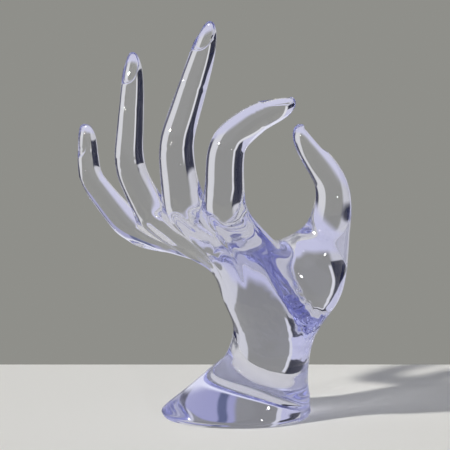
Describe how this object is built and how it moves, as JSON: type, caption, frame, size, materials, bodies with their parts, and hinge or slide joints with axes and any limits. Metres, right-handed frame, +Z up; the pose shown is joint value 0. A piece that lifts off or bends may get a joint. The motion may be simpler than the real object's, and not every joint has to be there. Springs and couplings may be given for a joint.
{
  "type": "hand jewelry stand",
  "caption": "Clear lavender stand shaped as a raised left hand on a flared oval foot, its fingers apart to hold rings, bracelets and necklaces.",
  "frame": {"origin": "centre of the flat underside of the foot", "axes": "+Z up, +X the way the palm faces and along the long side of the foot, -Y the side of the thumb"},
  "size_m": [0.1137, 0.0544, 0.1628],
  "materials": {
    "lavender_resin": "polished, clear, tinted lavender"
  },
  "bodies": {
    "root": {"cast_hand": "lavender_resin"}
  },
  "joints": []
}
